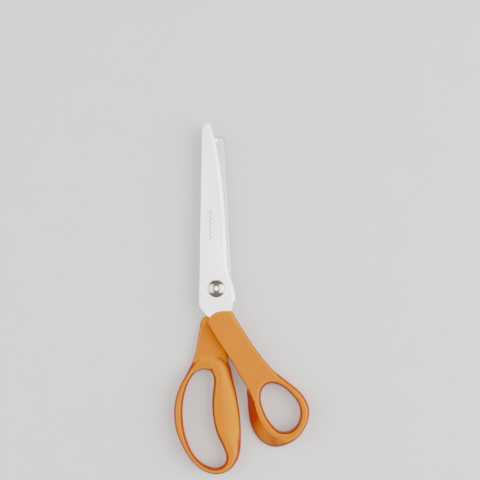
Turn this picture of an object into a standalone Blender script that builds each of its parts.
"""Pinking shears lying flat, nearly closed: two serrated blades, two moulded handles and a pivot.

+Z is the pivot axis, +Y points at the blade tips and +X at the thumb loop. The origin is on the
pivot axis, in the plane that the shears rest on. Shapes are drawn in millimetres and become metres
as they are made into objects.
"""

import math

import bmesh
import bpy
from mathutils import Matrix, Vector

MM = 0.001

# The height of the plane between the blades, and the faces of each blade measured from it.
MEETING_PLANE = 7.8
BOSS_GAP = 0.55
RELIEF_GAP = 1.3
BLADE_FACE = 3.7

# Blades, in the front blade's own frame: the cutting edge faces +X.
EDGE_START = 14.5
EDGE_ROOT = 7.2
EDGE_LEAN = 0.42
EDGE_POWER = 3.7
EDGE_STEPS = 16
SPINE_TAPER = 0.0157
TIP_WIDTH = 5.7
TIP_FLAT = 4.0
TIP_CORNER = 3.7
TIP_LEAN = (0.5, -1.1)
BEVEL_WIDTH = 2.1
BEVEL_DROP = 1.6
HEEL_FOOT = -8.2
HEEL_CURVE = ((-0.1, -0.5), (-2.4, 4.8))
HEEL_STEPS = ((-2.7, -14.9), (-1.5, -12.6), (-1.2, -10.6), (-0.9, -9.6))
EDGE_LEAD = (0.6, 9.6)
SPINE_FOOT = -9.6
FOOT_CURVE = ((0.0, -12.4), (2.5, -14.8))
NECK_CORNER = (6.0, -18.6)
TANG_HOLE_RADIUS = 1.6
TANG_HOLES_AT = (0.35, 0.8)
FRONT = {
    "reach": 108.0,
    "edge_tip": -3.9,
    "spine_root": 11.25,
    "heel": 12.3,
    "tang": ((3.0, -19.0), (17.5, -45.0)),
    "tang_width": 8.0,
    "tooth_phase": 0.0,
}
REAR = {
    "reach": 99.3,
    "edge_tip": -2.8,
    "spine_root": 10.9,
    "heel": 11.0,
    "tang": ((1.4, -19.0), (2.0, -44.0)),
    "tang_width": 6.0,
    "tooth_phase": 0.5,
}
REAR_TURN = math.radians(2.0)

# Teeth: ridges that follow circles about the pivot, so that they mesh at any opening.
TOOTH_PITCH = 3.0
TOOTH_HEIGHT = 1.5
TOOTH_CLEARANCE = 0.2
LAND_START = 13.5
LAND_WIDTH = 2.2
LAND_OVERRUN = 1.3
LAND_STRIPS = 3

# How far a cutter runs past what it cuts, and the heights of one that cuts right through.
CUT_OVERLAP = 0.5
THROUGH = (-1.0, 20.0)
MEETING_BLOCK = ((-40.0, -70.0), (40.0, -70.0), (40.0, 130.0), (-40.0, 130.0))

# Pivot.
GAP = 0.3
SHANK_RADIUS = 2.5
SHANK_CHAMFER = 0.4
BORE_RADIUS = SHANK_RADIUS + GAP
KEY_RADIUS = 3.2
KEY_HALF_WIDTH = 2.7
HEAD_RADIUS = 5.8
HEAD_HEIGHT = 2.7
HEAD_RIM = 0.5
DOME_STEPS = 8
BOSS_RADIUS = 9.5
FRICTION_WASHER = (8.5, 7.55, 8.05)
BACK_WASHER = (6.0, 3.2, 3.8)
SPRING_WASHER_RADIUS = 5.0
SPRING_WASHER_BOTTOM = 2.5
SPRING_WASHER_THICKNESS = 0.3
SPRING_WASHER_DISH = 0.1
NUT_WIDTH = 8.0
NUT_HEIGHT = 2.2
NUT_CHAMFER = 0.4
ROUND_STEPS = 40
PEG_STEPS = 20

STEEL = (0.80, 0.80, 0.80)
BOLT_STEEL = (0.62, 0.58, 0.53)
ORANGE = (0.69, 0.27, 0.045)
NYLON = (0.75, 0.75, 0.70)

# A loop's section is a closed row of points from the finger hole over the top to the rim and back
# underneath. Each point is (share of the width from the hole, distance in from that side, height).
# A share of 1 with a distance is measured in from the rim.
THUMB_FLANK = (
    (0, 0, 7.5), (0, 0, 11.0), (0, 0.8, 13.5), (0, 2.4, 14.8),
    (0, 3.9, 14.4), (0, 4.9, 13.2), (1, 1.0, 5.4), (1, 0.2, 4.2),
    (1, 0, 3.2), (1, 0.2, 2.0), (1, 1.0, 0.8), (0.75, 0, 0.1),
    (0.6, 0, 0.0), (0.4, 0, 0.0), (0.1, 0, 1.3), (0, 0, 4.2),
)
THUMB_SHOULDER = (
    (0, 0, 7.5), (0, 0, 11.0), (0, 0.8, 13.5), (0, 2.4, 14.8),
    (1, 3.0, 14.5), (1, 1.9, 13.3), (1, 0.6, 7.5), (1, 0.1, 5.0),
    (1, 0, 3.2), (1, 0.2, 2.0), (1, 1.0, 0.8), (0.75, 0, 0.1),
    (0.6, 0, 0.0), (0.4, 0, 0.0), (0.1, 0, 1.3), (0, 0, 4.2),
)
THUMB_TOE = (
    (0, 0, 7.5), (0, 0, 11.0), (0.08, 0, 13.5), (0.28, 0, 14.8),
    (0.48, 0, 14.5), (0.7, 0, 13.4), (0.88, 0, 11.6), (1, 0, 9.2),
    (1, 0, 6.6), (1, 0, 3.8), (0.94, 0, 1.9), (0.8, 0, 0.7),
    (0.6, 0, 0.1), (0.4, 0, 0.0), (0.1, 0, 1.3), (0, 0, 4.2),
)
THUMB_LIMB = (
    (0, 0, 7.5), (0, 0, 10.8), (0.14, 0, 13.6), (0.4, 0, 14.9),
    (0.6, 0, 15.0), (0.82, 0, 13.9), (0.94, 0, 12.4), (1, 0, 10.4),
    (1, 0, 7.5), (1, 0, 4.6), (0.94, 0, 2.8), (0.8, 0, 1.2),
    (0.6, 0, 0.2), (0.4, 0, 0.0), (0.13, 0, 1.4), (0, 0, 4.2),
)
FINGER_NECK = (
    (0, 0, 6.2), (0, 0, 8.0), (0.07, 0, 9.3), (0.25, 0, 10.3),
    (0.44, 0, 10.8), (0.6, 0, 10.1), (0.82, 0, 8.4), (1, 0, 6.8),
    (1, 0, 5.2), (1, 0, 3.8), (0.94, 0, 2.4), (0.8, 0, 1.1),
    (0.6, 0, 0.2), (0.4, 0, 0.0), (0.13, 0, 1.4), (0, 0, 3.8),
)
FINGER_RISE = (
    (0, 0, 7.0), (0, 0, 9.4), (0.06, 0, 11.4), (0.24, 0, 13.2),
    (0.42, 0, 13.5), (0.62, 0, 12.4), (0.82, 0, 9.8), (1, 0, 6.6),
    (1, 0, 5.2), (1, 0, 3.8), (0.94, 0, 2.4), (0.8, 0, 1.1),
    (0.6, 0, 0.2), (0.4, 0, 0.0), (0.13, 0, 1.4), (0, 0, 3.8),
)
FINGER_BAND = (
    (0, 0, 7.5), (0, 0, 10.2), (0.14, 0, 12.8), (0.4, 0, 14.2),
    (0.56, 0, 14.3), (0.8, 0, 13.2), (0.93, 0, 11.9), (1, 0, 10.2),
    (1, 0, 7.5), (1, 0, 4.8), (0.93, 0, 3.0), (0.8, 0, 1.4),
    (0.6, 0, 0.3), (0.4, 0, 0.0), (0.14, 0, 1.6), (0, 0, 4.4),
)
FINGER_PALM = (
    (0, 0, 7.5), (0, 0, 10.0), (0.05, 0, 12.6), (0.24, 0, 15.0),
    (0.42, 0, 14.7), (0.66, 0, 13.0), (0.86, 0, 10.6), (1, 0, 8.2),
    (1, 0, 6.8), (1, 0, 5.2), (0.93, 0, 3.2), (0.8, 0, 1.4),
    (0.55, 0, 0.0), (0.3, 0, 0.0), (0.07, 0, 1.5), (0, 0, 4.2),
)
FINGER_HEEL = (
    (0, 0, 7.5), (0, 0, 9.8), (0.1, 0, 12.2), (0.42, 0, 14.6),
    (0.6, 0, 14.8), (0.8, 0, 13.4), (0.93, 0, 11.4), (1, 0, 9.2),
    (1, 0, 7.2), (1, 0, 5.0), (0.93, 0, 3.0), (0.8, 0, 1.4),
    (0.6, 0, 0.2), (0.4, 0, 0.0), (0.12, 0, 1.5), (0, 0, 4.2),
)

# Stations clockwise round each loop: the point on the finger hole, the point on the rim, and the
# section that spans them.
THUMB_STATIONS = (
    ((29.3, -69.0), (19.9, -66.8), THUMB_SHOULDER),
    ((30.3, -65.8), (22.6, -60.6), THUMB_LIMB),
    ((32.2, -63.6), (27.2, -56.4), THUMB_LIMB),
    ((34.8, -62.3), (32.4, -54.2), THUMB_LIMB),
    ((38.0, -62.3), (37.8, -54.4), THUMB_LIMB),
    ((41.3, -63.3), (43.2, -58.2), THUMB_LIMB),
    ((44.8, -65.3), (48.5, -62.2), THUMB_LIMB),
    ((49.5, -69.9), (55.1, -67.7), THUMB_LIMB),
    ((53.6, -75.4), (59.9, -75.0), THUMB_LIMB),
    ((55.0, -81.6), (61.2, -81.6), THUMB_LIMB),
    ((53.5, -88.2), (59.1, -89.8), THUMB_LIMB),
    ((49.5, -92.8), (53.8, -97.7), THUMB_LIMB),
    ((44.9, -94.1), (45.9, -102.8), THUMB_TOE),
    ((40.6, -93.1), (37.3, -104.5), THUMB_FLANK),
    ((36.8, -89.6), (28.7, -100.1), THUMB_FLANK),
    ((33.2, -84.5), (23.0, -91.1), THUMB_FLANK),
    ((30.6, -78.6), (20.9, -81.6), THUMB_FLANK),
    ((29.2, -73.5), (20.4, -73.5), THUMB_FLANK),
)
FINGER_STATIONS = (
    ((-19.1, -63.8), (-24.1, -64.1), FINGER_BAND),
    ((-16.5, -58.7), (-20.1, -56.6), FINGER_BAND),
    ((-14.2, -55.6), (-17.2, -51.2), FINGER_NECK),
    ((-11.3, -53.8), (-12.2, -45.4), FINGER_NECK),
    ((-8.0, -53.1), (-7.3, -43.4), FINGER_NECK),
    ((-5.0, -53.7), (-1.7, -42.8), FINGER_NECK),
    ((-3.2, -55.0), (3.8, -44.2), FINGER_RISE),
    ((-2.1, -57.6), (8.2, -49.4), FINGER_RISE),
    ((-1.7, -61.8), (11.0, -60.0), FINGER_PALM),
    ((-2.3, -67.4), (13.1, -68.7), FINGER_PALM),
    ((-2.9, -75.0), (14.6, -77.0), FINGER_PALM),
    ((-2.3, -84.5), (15.8, -86.9), FINGER_PALM),
    ((0.3, -95.4), (16.2, -97.4), FINGER_PALM),
    ((4.0, -103.4), (15.8, -106.3), FINGER_HEEL),
    ((6.4, -110.0), (13.7, -113.3), FINGER_HEEL),
    ((5.0, -115.4), (8.2, -119.6), FINGER_BAND),
    ((-0.3, -117.9), (0.0, -122.1), FINGER_BAND),
    ((-7.3, -115.8), (-9.6, -119.1), FINGER_BAND),
    ((-13.9, -110.2), (-17.5, -111.6), FINGER_BAND),
    ((-18.6, -101.4), (-23.4, -101.4), FINGER_BAND),
    ((-21.3, -91.5), (-26.9, -91.5), FINGER_BAND),
    ((-22.1, -80.9), (-27.9, -80.9), FINGER_BAND),
    ((-21.3, -71.7), (-26.7, -71.7), FINGER_BAND),
)
STATION_STEP = 5.0

# Arms, counter-clockwise from the pivot end down the left side. The last points are buried in the loop.
THUMB_ARM = {
    "outline": (
        (8.9, -14.4), (3.6, -14.5), (-0.4, -15.4), (-3.6, -17.7), (-5.5, -20.2), (-5.4, -23.4),
        (1.3, -34.7), (6.3, -42.0), (10.9, -49.2), (15.4, -57.4), (17.7, -61.0), (19.5, -64.0),
        (21.2, -67.0), (22.8, -70.3), (24.2, -73.5), (26.0, -73.0), (26.2, -69.0), (27.3, -64.0),
        (30.1, -60.8), (33.8, -59.0), (38.0, -58.8), (40.6, -59.4), (39.6, -55.6),
        (36.2, -52.4), (31.4, -46.9), (24.8, -38.3), (18.8, -29.1), (14.2, -21.8), (10.8, -15.6),
    ),
    "bottom": 8.05,
    "top": 14.5,
    "end_bevel": (2.0, 1.6),
}
FINGER_ARM = {
    "outline": (
        (0.5, -16.4), (-3.2, -16.8), (-6.3, -17.8), (-8.9, -19.5), (-10.2, -21.6), (-10.8, -24.6),
        (-11.4, -28.8), (-12.4, -34.1), (-13.4, -40.7), (-15.5, -47.3), (-17.2, -51.4), (-14.6, -53.6),
        (-11.8, -51.4), (-8.2, -50.4), (-4.4, -51.2), (-0.6, -53.6), (1.4, -58.6), (10.2, -56.4),
        (8.3, -49.8), (7.4, -45.0), (6.3, -36.7), (4.6, -26.1), (3.4, -18.4),
    ),
    "bottom": 1.1,
    "top": 7.55,
    "end_bevel": (3.4, 2.9),
}
ARM_BEVEL = (1.3, 1.3)
ARM_FOOT_BEVEL = 0.8
ARM_END = -22.5


def clear_scene():
    for obj in list(bpy.data.objects):
        bpy.data.objects.remove(obj)


def material(name, colour, roughness, metallic):
    made = bpy.data.materials.new(name)
    made.use_nodes = True
    shader = made.node_tree.nodes["Principled BSDF"]
    shader.inputs["Base Color"].default_value = (*colour, 1.0)
    shader.inputs["Roughness"].default_value = roughness
    shader.inputs["Metallic"].default_value = metallic
    return made


def make_object(name, bm, finish=None, matrix=None):
    """Turns a bmesh in millimetres into an object in metres whose origin is on the pivot axis."""
    if matrix:
        bmesh.ops.transform(bm, matrix=matrix, verts=bm.verts)
    bmesh.ops.scale(bm, vec=(MM, MM, MM), verts=bm.verts)
    mesh = bpy.data.meshes.new(name)
    bm.to_mesh(mesh)
    bm.free()
    mesh.shade_smooth()
    mesh.set_sharp_from_angle(angle=math.radians(32.0))
    obj = bpy.data.objects.new(name, mesh)
    bpy.context.scene.collection.objects.link(obj)
    if finish:
        mesh.materials.append(finish)
    return obj


def make_cutter(name, bm, matrix=None):
    obj = make_object(name, bm, matrix=matrix)
    obj.hide_render = True
    obj.display_type = "WIRE"
    return obj


def boolean(target, tool, operation="DIFFERENCE"):
    modifier = target.modifiers.new(tool.name, "BOOLEAN")
    modifier.operation = operation
    modifier.solver = "EXACT"
    modifier.object = tool


def solid_through(loops):
    """A closed solid whose skin passes through equal-length loops of points, bottom loop first."""
    bm = bmesh.new()
    rings = [[bm.verts.new(point) for point in loop] for loop in loops]
    bm.faces.new(list(reversed(rings[0])))
    bm.faces.new(rings[-1])
    for lower, upper in zip(rings, rings[1:]):
        for i, vert in enumerate(lower):
            j = (i + 1) % len(lower)
            bm.faces.new((vert, lower[j], upper[j], upper[i]))
    return bm


def prism(outline, bottom, top):
    return solid_through([[(x, y, z) for x, y in outline] for z in (bottom, top)])


def circle(radius, steps=ROUND_STEPS, centre=(0.0, 0.0)):
    turn = 2 * math.pi / steps
    return [
        (centre[0] + radius * math.cos(i * turn), centre[1] + radius * math.sin(i * turn))
        for i in range(steps)
    ]


def turned(profile, steps=ROUND_STEPS):
    """A closed solid turned about the pivot axis from (radius, height) points."""
    bm = bmesh.new()
    verts = [bm.verts.new((radius, 0.0, height)) for radius, height in profile]
    edges = [bm.edges.new(pair) for pair in zip(verts, verts[1:])]
    if profile[0][0] > 0:
        edges.append(bm.edges.new((verts[-1], verts[0])))
    bmesh.ops.spin(
        bm, geom=verts + edges, cent=(0, 0, 0), axis=(0, 0, 1), angle=2 * math.pi,
        steps=steps, use_merge=True,
    )
    bmesh.ops.remove_doubles(bm, verts=bm.verts, dist=0.001)
    bmesh.ops.recalc_face_normals(bm, faces=bm.faces)
    return bm


def bezier(start, lean, end, steps):
    """Points after the start of a quadratic curve that leans towards its middle point."""
    points = []
    for i in range(1, steps + 1):
        t = i / steps
        weights = ((1 - t) ** 2, 2 * t * (1 - t), t * t)
        points.append(
            tuple(sum(w * p[k] for w, p in zip(weights, (start, lean, end))) for k in (0, 1))
        )
    return points


# --- Blades -----------------------------------------------------------------------------------


def edge_x(blade, y):
    """The cutting edge is nearly straight at the pivot and curls towards the spine at the tip."""
    u = max((y - EDGE_START) / (blade["reach"] - EDGE_START), 0.0)
    return EDGE_ROOT + (blade["edge_tip"] - EDGE_ROOT) * (
        EDGE_LEAN * u + (1 - EDGE_LEAN) * u**EDGE_POWER
    )


def edge_angle(blade, radius):
    """The direction from the pivot to the point of the cutting edge at this radius."""
    y = radius
    for _ in range(6):
        x = edge_x(blade, y)
        y = math.sqrt(radius * radius - x * x)
    return math.atan2(y, x)


def cutting_stretch(blade):
    """The ground edge from the heel up to the tip."""
    heel = blade["heel"]
    points = [(heel, HEEL_FOOT)]
    points += bezier(points[0], *((heel + x, y) for x, y in HEEL_CURVE), 5)
    points += bezier(points[-1], (EDGE_ROOT + EDGE_LEAD[0], EDGE_LEAD[1]), (EDGE_ROOT, EDGE_START), 4)
    for i in range(1, EDGE_STEPS + 1):
        y = EDGE_START + (blade["reach"] - EDGE_START) * i / EDGE_STEPS
        points.append((edge_x(blade, y), y))
    return points


def tang_corners(blade):
    """Sides of the tang, west and east of its middle line."""
    start, end = (Vector(p) for p in blade["tang"])
    along = (end - start).normalized()
    west = Vector((along.y, -along.x)) * blade["tang_width"] / 2
    tip = along * blade["tang_width"] / 4
    return [
        start + west, end - tip + west, end + west / 2,
        end - west / 2, end - tip - west, start - west,
    ]


def plain_stretch(blade):
    """The rest of the outline, from the tip down the spine and round the tang to the heel."""
    reach = blade["reach"]
    spine_tip = -blade["spine_root"] + SPINE_TAPER * reach
    points = [(spine_tip + TIP_WIDTH - TIP_FLAT, reach)]
    lean = (spine_tip + TIP_LEAN[0], reach + TIP_LEAN[1])
    points += bezier(points[0], lean, (spine_tip, reach - TIP_CORNER), 4)
    foot = -blade["spine_root"] + SPINE_TAPER * SPINE_FOOT
    points.append((foot, SPINE_FOOT))
    points += bezier(points[-1], *((foot + x, y) for x, y in FOOT_CURVE), 3)
    points.append((foot + NECK_CORNER[0], NECK_CORNER[1]))
    points += [tuple(point) for point in tang_corners(blade)]
    points += [(blade["heel"] + x, y) for x, y in HEEL_STEPS]
    return points


def offset(outline, distance, count=None):
    """Moves the first count points of a closed outline sideways, outwards if distance is positive."""
    moved = []
    total = len(outline)
    for i, point in enumerate(outline):
        here = Vector(point)
        if count is not None and i >= count:
            moved.append(here)
            continue
        before = (here - Vector(outline[i - 1])).normalized()
        after = (Vector(outline[(i + 1) % total]) - here).normalized()
        if count is not None and i == 0:
            before = after
        if count is not None and i == count - 1:
            after = before
        along = (before + after).normalized()
        outward = Vector((along.y, -along.x))
        moved.append(here + outward * distance / max(outward.dot(Vector((after.y, -after.x))), 0.5))
    return moved


def blade_blank(blade):
    """The blade before its meeting face is cut: plain sides and the ground bevel on the outside."""
    edge = cutting_stretch(blade)
    outline = edge + plain_stretch(blade)
    face = MEETING_PLANE + BLADE_FACE
    ground = offset(outline, -BEVEL_WIDTH, count=len(edge))
    lowest = MEETING_PLANE - TOOTH_HEIGHT
    return solid_through(
        [
            [(x, y, lowest) for x, y in outline],
            [(x, y, face - BEVEL_DROP) for x, y in outline],
            [(x, y, face) for x, y in ground],
        ]
    )


def tooth_land(blade):
    """The toothed strip along the edge: zigzag below, flat above, wider than the blade."""
    half = TOOTH_PITCH / 2
    rows = int((blade["reach"] + 2 * TOOTH_PITCH - LAND_START) / half) + 1
    bm = bmesh.new()
    bmesh.ops.create_grid(bm, x_segments=rows - 1, y_segments=LAND_STRIPS, size=0.5)
    ridge = MEETING_PLANE + TOOTH_CLEARANCE
    for vert in bm.verts:
        row = round((vert.co.x + 0.5) * (rows - 1))
        across = vert.co.y + 0.5
        radius = LAND_START + row * half
        outside = edge_angle(blade, radius) - LAND_OVERRUN / radius
        angle = outside + across * (LAND_WIDTH + LAND_OVERRUN) / radius
        side = 1 if (row + round(2 * blade["tooth_phase"])) % 2 else -1
        vert.co = (
            radius * math.cos(angle), radius * math.sin(angle), ridge + side * TOOTH_HEIGHT / 2
        )
    top = bmesh.ops.extrude_face_region(bm, geom=list(bm.faces))["geom"]
    for vert in top:
        if isinstance(vert, bmesh.types.BMVert):
            vert.co.z = MEETING_PLANE + RELIEF_GAP + CUT_OVERLAP
    bmesh.ops.recalc_face_normals(bm, faces=bm.faces)
    return bm


def make_blade(name, blade, finish, matrix=None):
    """Cuts the meeting face, the boss and the tang's moulding holes into a blank."""
    obj = make_object(name, blade_blank(blade), finish, matrix)
    relief = MEETING_PLANE + RELIEF_GAP
    meeting_cut = make_cutter(name + "_meeting_cut", prism(MEETING_BLOCK, 0.0, relief), matrix)
    boss = prism(circle(BOSS_RADIUS), MEETING_PLANE + BOSS_GAP, relief + CUT_OVERLAP)
    boolean(meeting_cut, make_cutter(name + "_boss", boss, matrix))
    boolean(meeting_cut, make_cutter(name + "_land", tooth_land(blade), matrix))
    boolean(obj, meeting_cut)
    for i, spot in enumerate(tang_hole_spots(blade)):
        hole = prism(circle(TANG_HOLE_RADIUS, PEG_STEPS, spot), *THROUGH)
        boolean(obj, make_cutter(f"{name}_tang_hole_{i}", hole, matrix))
    return obj


def tang_hole_spots(blade):
    start, end = (Vector(p) for p in blade["tang"])
    return [tuple(start.lerp(end, share)) for share in TANG_HOLES_AT]


def tang_pocket(name, blade, matrix=None):
    """What the moulded handle leaves for its blade: the blade grown by the gap, less two pegs."""
    outline = offset(cutting_stretch(blade) + plain_stretch(blade), GAP)
    bottom = MEETING_PLANE + RELIEF_GAP - GAP
    top = MEETING_PLANE + BLADE_FACE + GAP
    pocket = make_cutter(name, prism([tuple(p) for p in outline], bottom, top), matrix)
    for i, spot in enumerate(tang_hole_spots(blade)):
        peg = prism(circle(TANG_HOLE_RADIUS - GAP, PEG_STEPS, spot), *THROUGH)
        boolean(pocket, make_cutter(f"{name}_peg_{i}", peg, matrix))
    return pocket


# --- Handles ----------------------------------------------------------------------------------


def hermite(before, start, end, after, gaps, t):
    """A point of the smooth curve from start to end, whose ends lean along their neighbours."""
    lead, span, trail = gaps
    slope_in = (end - before) / (lead + span) * span
    slope_out = (after - start) / (span + trail) * span
    t2, t3 = t * t, t * t * t
    return (
        start * (2 * t3 - 3 * t2 + 1) + slope_in * (t3 - 2 * t2 + t)
        + end * (3 * t2 - 2 * t3) + slope_out * (t3 - t2)
    )


def loop_rows(stations, step):
    """Rows across a loop, evenly spaced between its stations: (hole, rim, section)."""
    rows = []
    total = len(stations)
    holes = [Vector(s[0]) for s in stations]
    rims = [Vector(s[1]) for s in stations]
    for i in range(total):
        ids = [(i + k) % total for k in (-1, 0, 1, 2)]
        gaps = [(rims[b] - rims[a]).length for a, b in zip(ids, ids[1:])]
        pieces = max(round(gaps[1] / step), 1)
        for piece in range(pieces):
            t = piece / pieces
            hole = hermite(*(holes[k] for k in ids), gaps, t)
            rim = hermite(*(rims[k] for k in ids), gaps, t)
            pair = zip(stations[i][2], stations[ids[2]][2])
            section = [Vector(a).lerp(Vector(b), t) for a, b in pair]
            rows.append((hole, rim, section))
    return rows


def inward(curve, i):
    """The unit normal of a clockwise closed curve that points away from what it surrounds."""
    along = (curve[(i + 1) % len(curve)] - curve[i - 1]).normalized()
    return Vector((-along.y, along.x))


def loop_mesh(stations, step=STATION_STEP):
    """A moulded loop: sections in a closed row round the finger hole."""
    rows = loop_rows(stations, step)
    holes = [row[0] for row in rows]
    rims = [row[1] for row in rows]
    bm = bmesh.new()
    rings = []
    for i, (hole, rim, section) in enumerate(rows):
        ring = []
        for share, distance, height in section:
            place = hole.lerp(rim, share)
            side = inward(holes, i) * (1 - share) - inward(rims, i) * share
            ring.append(bm.verts.new((*(place + side * distance), height)))
        rings.append(ring)
    for i, ring in enumerate(rings):
        after = rings[(i + 1) % len(rings)]
        for j, vert in enumerate(ring):
            k = (j + 1) % len(ring)
            bm.faces.new((vert, after[j], after[k], ring[k]))
    return bm


def arm_mesh(arm):
    """A flat bar with bevelled upper edges, wider bevels at the pivot end and a small one below."""
    outline = arm["outline"]
    insets = [arm["end_bevel"] if y > ARM_END else ARM_BEVEL for _, y in outline]
    foot = offset(outline, -ARM_FOOT_BEVEL)
    one_inwards = offset(outline, -1.0)
    bottom, top = arm["bottom"], arm["top"]
    levels = [[(x, y, bottom) for x, y in foot], [(x, y, bottom + ARM_FOOT_BEVEL) for x, y in outline]]
    levels.append([(x, y, top - drop) for (x, y), (_, drop) in zip(outline, insets)])
    face = []
    for point, inner, (inset, _) in zip(outline, one_inwards, insets):
        place = Vector(point) + (inner - Vector(point)) * inset
        face.append((place.x, place.y, top))
    levels.append(face)
    return solid_through(levels)


def make_handle(name, stations, arm, finish, pocket):
    """A loop and an arm joined, with the pocket that the blade's tang sits in."""
    handle = make_object(name, loop_mesh(stations), finish)
    boolean(handle, make_cutter(name + "_arm", arm_mesh(arm)), "UNION")
    boolean(handle, pocket)
    return handle


# --- Pivot ------------------------------------------------------------------------------------


def keyed_outline(grow):
    """A circle with two flats, which keeps the bolt from turning in the front blade."""
    half_width = KEY_HALF_WIDTH + grow
    points = circle(KEY_RADIUS + grow)
    return [(max(-half_width, min(half_width, x)), y) for x, y in points]


def bolt_mesh():
    """Domed head over a plain shank that ends flush with the nut."""
    under_head = MEETING_PLANE + BLADE_FACE + GAP
    rim = under_head + HEAD_RIM
    crown = HEAD_HEIGHT - HEAD_RIM
    profile = [(0.0, 0.0), (SHANK_RADIUS - SHANK_CHAMFER, 0.0), (SHANK_RADIUS, SHANK_CHAMFER)]
    profile += [(SHANK_RADIUS, under_head), (HEAD_RADIUS, under_head)]
    for i in range(DOME_STEPS + 1):
        angle = i / DOME_STEPS * math.pi / 2
        profile.append((HEAD_RADIUS * math.cos(angle), rim + crown * math.sin(angle)))
    return turned(profile)


def washer(radius, bottom, top):
    bore = BORE_RADIUS
    return turned([(bore, bottom), (radius, bottom), (radius, top), (bore, top)])


def spring_washer_mesh():
    """Dished: its bore stands a little lower than its rim."""
    low = SPRING_WASHER_BOTTOM
    high = low + SPRING_WASHER_DISH
    thick = SPRING_WASHER_THICKNESS
    radius = SPRING_WASHER_RADIUS
    return turned([(BORE_RADIUS, low), (radius, high), (radius, high + thick), (BORE_RADIUS, low + thick)])


def nut_mesh():
    """Hexagon with its corners chamfered above and below."""
    corner = NUT_WIDTH / 2 / math.cos(math.pi / 6)
    small = corner - NUT_CHAMFER
    return solid_through(
        [
            [(x, y, 0.0) for x, y in circle(small, 6)],
            [(x, y, NUT_CHAMFER / 2) for x, y in circle(corner, 6)],
            [(x, y, NUT_HEIGHT - NUT_CHAMFER / 2) for x, y in circle(corner, 6)],
            [(x, y, NUT_HEIGHT) for x, y in circle(small, 6)],
        ]
    )


def build():
    clear_scene()
    blade_steel = material("blade_steel", STEEL, 0.32, 1.0)
    bolt_steel = material("bolt_steel", BOLT_STEEL, 0.22, 1.0)
    orange = material("orange_plastic", ORANGE, 0.42, 0.0)
    nylon = material("nylon", NYLON, 0.5, 0.0)

    turn_over = (
        Matrix.Rotation(REAR_TURN, 4, "Z")
        @ Matrix.Translation((0, 0, MEETING_PLANE))
        @ Matrix.Rotation(math.pi, 4, "Y")
        @ Matrix.Translation((0, 0, -MEETING_PLANE))
    )
    front_blade = make_blade("front_blade", FRONT, blade_steel)
    rear_blade = make_blade("rear_blade", REAR, blade_steel, turn_over)
    keyed_bore = prism(keyed_outline(GAP), *THROUGH)
    boolean(front_blade, make_cutter("keyed_bore", keyed_bore))
    round_bore = prism(circle(BORE_RADIUS), *THROUGH)
    boolean(rear_blade, make_cutter("round_bore", round_bore))

    front_pocket = tang_pocket("front_pocket", FRONT)
    thumb_handle = make_handle("thumb_handle", THUMB_STATIONS, THUMB_ARM, orange, front_pocket)
    rear_pocket = tang_pocket("rear_pocket", REAR, turn_over)
    make_handle("finger_handle", FINGER_STATIONS, FINGER_ARM, orange, rear_pocket)

    pivot_bolt = make_object("pivot_bolt", bolt_mesh(), bolt_steel)
    key_bottom = MEETING_PLANE + BOSS_GAP + GAP
    key = prism(keyed_outline(0.0), key_bottom, MEETING_PLANE + BLADE_FACE + 2 * GAP)
    boolean(pivot_bolt, make_cutter("bolt_key", key), "UNION")
    back_washer = make_object("back_washer", washer(*BACK_WASHER), bolt_steel)
    spring_washer = make_object("spring_washer", spring_washer_mesh(), bolt_steel)
    adjusting_nut = make_object("adjusting_nut", nut_mesh(), bolt_steel)
    boolean(adjusting_nut, make_cutter("nut_bore", prism(circle(BORE_RADIUS), *THROUGH)))

    make_object("friction_washer", washer(*FRICTION_WASHER), nylon)

    pivot = bpy.data.objects.new("pivot", None)
    bpy.context.scene.collection.objects.link(pivot)
    for obj in (front_blade, thumb_handle, pivot_bolt, back_washer, spring_washer, adjusting_nut):
        obj.parent = pivot


build()
